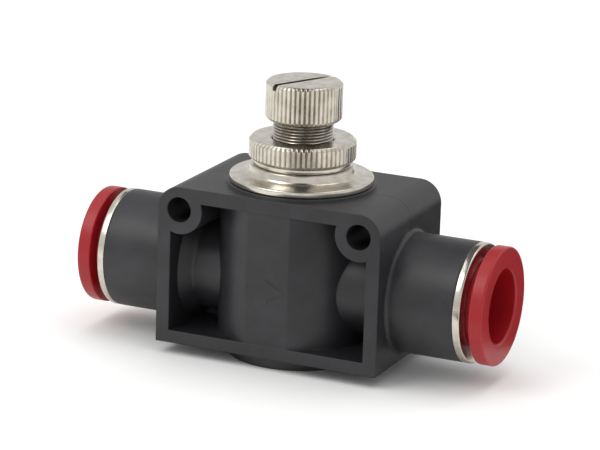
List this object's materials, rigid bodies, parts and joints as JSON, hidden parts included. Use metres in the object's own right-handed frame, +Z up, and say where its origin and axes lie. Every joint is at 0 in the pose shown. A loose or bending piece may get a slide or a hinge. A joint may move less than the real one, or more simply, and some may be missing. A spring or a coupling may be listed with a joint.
{
  "type": "in-line flow control valve",
  "caption": "In-line one-way flow control valve with push-in tube ports, a moulded frame body, a knurled needle spindle knob and a lock nut.",
  "frame": {"origin": "centre of the round boss's face at the bottom of the body", "axes": "+X along the metered flow, out of the outlet port; -Y out of the side with the flow arrow; +Z up the spindle to the knob"},
  "size_m": [0.0718, 0.0254, 0.0455],
  "materials": {
    "nylon_black": "fine moulded texture, glass-filled",
    "nickel_plate": "bright nickel plate over turned brass",
    "plain_brass": "turned",
    "red_acetal": "satin moulded",
    "white_acetal": "moulded",
    "spring_stainless": "stamped",
    "seal_rubber": "moulded"
  },
  "bodies": {
    "housing": {"valve_body": "nylon_black", "bonnet_bush": "nickel_plate", "bush_o_ring": "seal_rubber", "seat_sleeve": "plain_brass", "check_lip_seal": "seal_rubber", "left_port_ring": "nickel_plate", "left_grip_ring": "spring_stainless", "left_support_ring": "white_acetal", "left_tube_seal": "seal_rubber", "right_port_ring": "nickel_plate", "right_grip_ring": "spring_stainless", "right_support_ring": "white_acetal", "right_tube_seal": "seal_rubber"},
    "inlet_collet": {"left_release_collet": "red_acetal"},
    "outlet_collet": {"right_release_collet": "red_acetal"},
    "spindle_lift": {"spindle_o_ring": "seal_rubber"},
    "spindle": {"needle_spindle": "nickel_plate", "regulating_knob": "nickel_plate"},
    "nut_lift": {"nut_washer": "nickel_plate"},
    "nut": {"lock_nut": "nickel_plate"}
  },
  "joints": [
    {"name": "inlet_collet_press", "type": "slide", "parent": "housing", "child": "inlet_collet", "axis": [1, 0, 0], "range_m": [0, 0.0012], "stiffness_N_per_m": 400},
    {"name": "outlet_collet_press", "type": "slide", "parent": "housing", "child": "outlet_collet", "axis": [-1, 0, 0], "range_m": [0, 0.0012], "stiffness_N_per_m": 400},
    {"name": "spindle_travel", "type": "slide", "parent": "housing", "child": "spindle_lift", "axis": [0, 0, 1], "range_m": [-0.00125, 0.003]},
    {"name": "knob_turn", "type": "hinge", "parent": "spindle_lift", "child": "spindle", "pos_m": [0, 0, 0.04], "axis": [0, 0, 1], "range_deg": [-905, 2167]},
    {"name": "nut_travel", "type": "slide", "parent": "housing", "child": "nut_lift", "axis": [0, 0, 1], "range_m": [0, 0.0005]},
    {"name": "nut_turn", "type": "hinge", "parent": "nut_lift", "child": "nut", "pos_m": [0, 0, 0.034], "axis": [0, 0, 1], "range_deg": [-2, 363]}
  ],
  "couplings": [
    {"joint": "knob_turn", "follows": "spindle_travel", "rad_per_m": 12566},
    {"joint": "nut_turn", "follows": "nut_travel", "rad_per_m": 12566}
  ]
}
